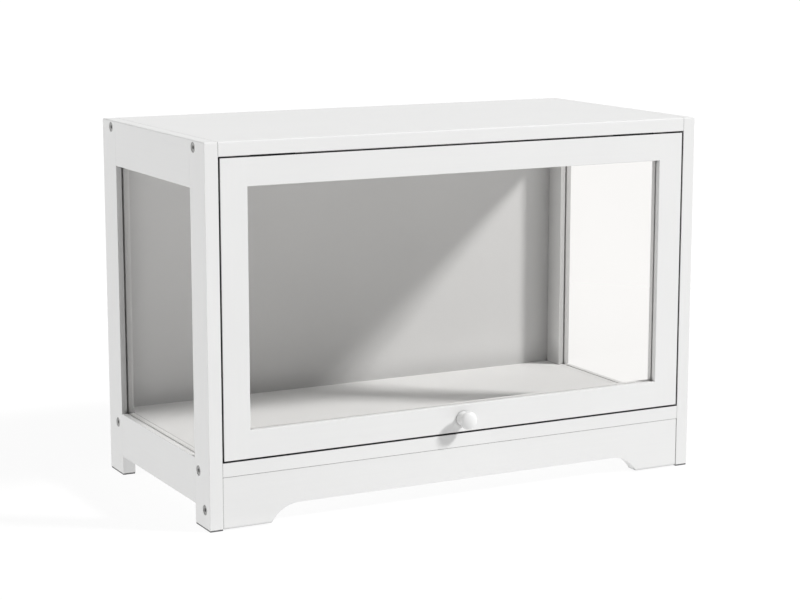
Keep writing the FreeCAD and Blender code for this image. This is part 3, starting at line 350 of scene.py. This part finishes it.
def acrylic():
    """Clear polished acrylic sheet, too thin to bend what shows through it, with a faint reflection."""
    made, tree, shader = material("clear_acrylic")
    shader.inputs["Base Color"].default_value = ACRYLIC_COLOUR
    shader.inputs["Transmission Weight"].default_value = 1.0
    shader.inputs["IOR"].default_value = ACRYLIC_IOR
    haze = noise(tree, place_coordinates(tree, PLAIN), *HAZE)
    rough = level(tree, haze, *ACRYLIC_ROUGH)
    tree.links.new(rough, shader.inputs["Roughness"])
    clear = add(tree, "ShaderNodeBsdfTransparent", Color=PANE_COLOUR)
    gloss = add(tree, "ShaderNodeBsdfGlossy", Color=(1, 1, 1, 1), Roughness=rough)
    fresnel = add(tree, "ShaderNodeFresnel", IOR=ACRYLIC_IOR)
    geometry = tree.nodes.new("ShaderNodeNewGeometry")
    outer = math_node(tree, "SUBTRACT", 1.0, geometry.outputs["Backfacing"])
    veil = math_node(tree, "MULTIPLY", fresnel.outputs[0], PANE_GLOSS)
    path = tree.nodes.new("ShaderNodeLightPath")
    lit = math_node(tree, "MAXIMUM", path.outputs["Is Shadow Ray"], path.outputs["Is Diffuse Ray"])
    shown = math_node(tree, "MULTIPLY", outer, math_node(tree, "SUBTRACT", 1.0, lit))
    sheet = mix_shader(tree, math_node(tree, "MULTIPLY", veil, shown), clear, gloss)
    passing = math_node(tree, "SUBTRACT", 1.0, path.outputs["Is Glossy Ray"])
    whole = mix_shader(tree, passing, shader, sheet)
    output = next(node for node in tree.nodes if node.type == "OUTPUT_MATERIAL")
    tree.links.new(whole.outputs[0], output.inputs["Surface"])
    return made


def metal(name, colours, rough, stretch=PLAIN):
    """Plated or brushed steel with fine scratches along its longer way."""
    made, tree, shader = material(name)
    lines = noise(tree, place_coordinates(tree, stretch), *SCRATCHES)
    patches = noise(tree, place_coordinates(tree, PLAIN), *METAL_PATCHES)
    tree.links.new(ramp(tree, patches, *colours), shader.inputs["Base Color"])
    tree.links.new(level(tree, lines, *rough), shader.inputs["Roughness"])
    tree.links.new(bump(tree, lines, *SCRATCH_BUMP), shader.inputs["Normal"])
    shader.inputs["Metallic"].default_value = 1.0
    return made


def plastic(name, colours, rough, scale, depth):
    """Moulded plastic, rubber or sintered stock with a fine texture."""
    made, tree, shader = material(name)
    plain = place_coordinates(tree, PLAIN)
    grains = noise(tree, plain, scale, PLASTIC_DETAIL)
    patches = noise(tree, plain, *PLASTIC_PATCHES)
    tree.links.new(ramp(tree, patches, *colours), shader.inputs["Base Color"])
    tree.links.new(level(tree, grains, *rough), shader.inputs["Roughness"])
    tree.links.new(bump(tree, grains, depth, PLASTIC_STRENGTH), shader.inputs["Normal"])
    return made


def beech():
    """Plain beech for the dowels, with short darker flecks."""
    made, tree, shader = material("beech")
    flecks = noise(tree, place_coordinates(tree, DOWEL_STRETCH), *FLECKS)
    tree.links.new(ramp(tree, flecks, *BEECH), shader.inputs["Base Color"])
    tree.links.new(level(tree, flecks, *BEECH_ROUGH), shader.inputs["Roughness"])
    tree.links.new(bump(tree, flecks, *FLECK_BUMP), shader.inputs["Normal"])
    return made


def wear(node_names, made):
    """Put a material on all the slots of CAD nodes."""
    for name in node_names:
        target = nodes[name]
        target.data.materials.clear()
        target.data.materials.append(made)


def both(*names):
    """The left and right nodes of each name."""
    return [f"{side}_{name}" for name in names for side in ("left", "right")]


# Each paint below carries painted shade in its gaps; the keywords pick its grooves, corners, seams, cut
# ends and the door's gap
wear(both("front_post", "rear_post"),
     paint("paint_post", "z", groove=OWN_GROOVE_SHADE, corner=POST_CORNER_SHADE))
wear(both("upper_rail", "lower_rail"),
     paint("paint_side_rail", "y"))
wear(["top_board", "bottom_shelf", "front_apron"],
     paint("paint_board", "x", seam=BOARD_SEAM_SHADE, ends=True, front=True))
wear(both("door_stile"),
     paint("paint_door_stile", "z", groove=OWN_GROOVE_SHADE))
wear(["door_top_rail", "door_bottom_rail"],
     paint("paint_door_rail", "x", front=True))
wear(["door_knob"],
     paint("paint_knob", "y", KNOB_TONE, KNOB_ROUGH, KNOB_GLOSS))
wear(["back_panel"],
     back_face())
wear(both("side_pane") + ["door_pane"],
     acrylic())
wear(both("rail_dowels") + ["board_dowels", "door_dowels"],
     beech())
wear(both("stay_plate", "stay_long_arm", "stay_short_arm", "stay_elbow_rivet", "stay_door_bracket")
     + ["stay_case_rivets", "stay_door_rivets", "strike_plate", "catch_pole_plates"],
     metal("zinc_steel", ZINC, ZINC_ROUGH, ZINC_STRETCH))
wear(both("side_screws")
     + ["catch_screws", "knob_screw", "strike_screws", "stay_plate_screws", "stay_bracket_screws"],
     metal("screw_steel", SCREW, SCREW_ROUGH))
wear(both("hinge_case_leaf", "hinge_door_leaf", "hinge_pin") + ["hinge_case_screws", "hinge_door_screws"],
     metal("dark_steel", HINGE, HINGE_ROUGH, HINGE_STRETCH))
wear(["catch_housing"],
     plastic("catch_plastic", CATCH, CATCH_ROUGH, *CATCH_GRAINS))
wear(["catch_magnet"],
     plastic("magnet_ferrite", MAGNET, MAGNET_ROUGH, *MAGNET_GRAINS))
wear(both("front_foot_pad", "rear_foot_pad"),
     plastic("pad_felt", PAD, PAD_ROUGH, *PAD_GRAINS))


def seen_rays(tree):
    """1 for rays that show the surroundings to the camera, directly, in gloss or through acrylic."""
    path = tree.nodes.new("ShaderNodeLightPath")
    direct = math_node(tree, "MAXIMUM", path.outputs["Is Camera Ray"], path.outputs["Is Glossy Ray"])
    return math_node(tree, "MAXIMUM", direct, path.outputs["Is Transmission Ray"])


def surroundings():
    """White to the camera, a plain even sky to the object."""
    world = bpy.data.worlds.new("surroundings")
    bpy.context.scene.world = world
    world.use_nodes = True
    tree = world.node_tree
    background = next(node for node in tree.nodes if node.type == "BACKGROUND")
    background.inputs["Color"].default_value = (1, 1, 1, 1)
    seen = seen_rays(tree)
    lit = math_node(tree, "MULTIPLY", math_node(tree, "SUBTRACT", 1.0, seen), SKY_LEVEL)
    tree.links.new(math_node(tree, "ADD", seen, lit), background.inputs["Strength"])


def floor():
    """A wide pale floor that keeps a soft shadow and is white where nothing shades it."""
    mesh = bpy.data.meshes.new("floor")
    corners = [(x * FLOOR_REACH, y * FLOOR_REACH, 0) for x, y in ((-1, -1), (1, -1), (1, 1), (-1, 1))]
    mesh.from_pydata(corners, [], [(0, 1, 2, 3)])
    ground = bpy.data.objects.new("floor", mesh)
    bpy.context.scene.collection.objects.link(ground)
    ground.location.z = -FLOOR_DROP
    made, tree, shader = material("floor")
    shader.inputs["Base Color"].default_value = FLOOR_COLOUR
    shader.inputs["Roughness"].default_value = FLOOR_ROUGH
    shader.inputs["Specular IOR Level"].default_value = 0.0
    glow = add(tree, "ShaderNodeEmission", Color=(1, 1, 1, 1), Strength=GLOW)
    coordinates = tree.nodes.new("ShaderNodeTexCoord")
    length = tree.nodes.new("ShaderNodeVectorMath")
    length.operation = "LENGTH"
    tree.links.new(coordinates.outputs["Object"], length.inputs[0])
    fade = tree.nodes.new("ShaderNodeMapRange")
    fade.interpolation_type = "SMOOTHSTEP"
    tree.links.new(length.outputs["Value"], fade.inputs["Value"])
    for label, value in (("From Min", SHADOW_REACH[0]), ("From Max", SHADOW_REACH[1]),
                         ("To Min", GLOW_SHARE), ("To Max", 1.0)):
        fade.inputs[label].default_value = value
    seen = math_node(tree, "MULTIPLY", seen_rays(tree), fade.outputs[0])
    path = tree.nodes.new("ShaderNodeLightPath")
    bounce = math_node(tree, "MULTIPLY", path.outputs["Is Diffuse Ray"], BOUNCE_SHARE)
    whole = mix_shader(tree, math_node(tree, "MAXIMUM", seen, bounce), shader, glow)
    output = next(node for node in tree.nodes if node.type == "OUTPUT_MATERIAL")
    tree.links.new(whole.outputs[0], output.inputs["Surface"])
    mesh.materials.append(made)


def lamp(name, direction, distance, width, bright):
    """A square lamp that looks at the case, with a power that gives its level on a surface facing it."""
    light = bpy.data.lights.new(name, "AREA")
    light.shape = "SQUARE"
    light.size = width
    light.energy = bright * (math.pi * distance) ** 2
    holder = bpy.data.objects.new(name, light)
    bpy.context.scene.collection.objects.link(holder)
    away = direction.normalized()
    holder.location = LAMP_AIM + away * distance
    holder.rotation_mode = "QUATERNION"
    holder.rotation_quaternion = away.to_track_quat("Z", "Y")


def camera():
    """The photograph's camera: its place and aim, without a lens shift."""
    lens = bpy.data.cameras.new("camera")
    lens.lens = CAMERA_LENS
    lens.sensor_width = SENSOR_WIDTH
    holder = bpy.data.objects.new("camera", lens)
    bpy.context.scene.collection.objects.link(holder)
    holder.location = CAMERA_PLACE
    level_aim = Matrix.Rotation(math.pi / 2 + CAMERA_PITCH, 4, "X")
    holder.rotation_euler = (Matrix.Rotation(-CAMERA_YAW, 4, "Z") @ level_aim).to_euler()
    bpy.context.scene.camera = holder


surroundings()
floor()
for lamp_name, settings in LAMPS.items():
    lamp(lamp_name, *settings)
camera()
bpy.context.scene.view_settings.view_transform = "Standard"
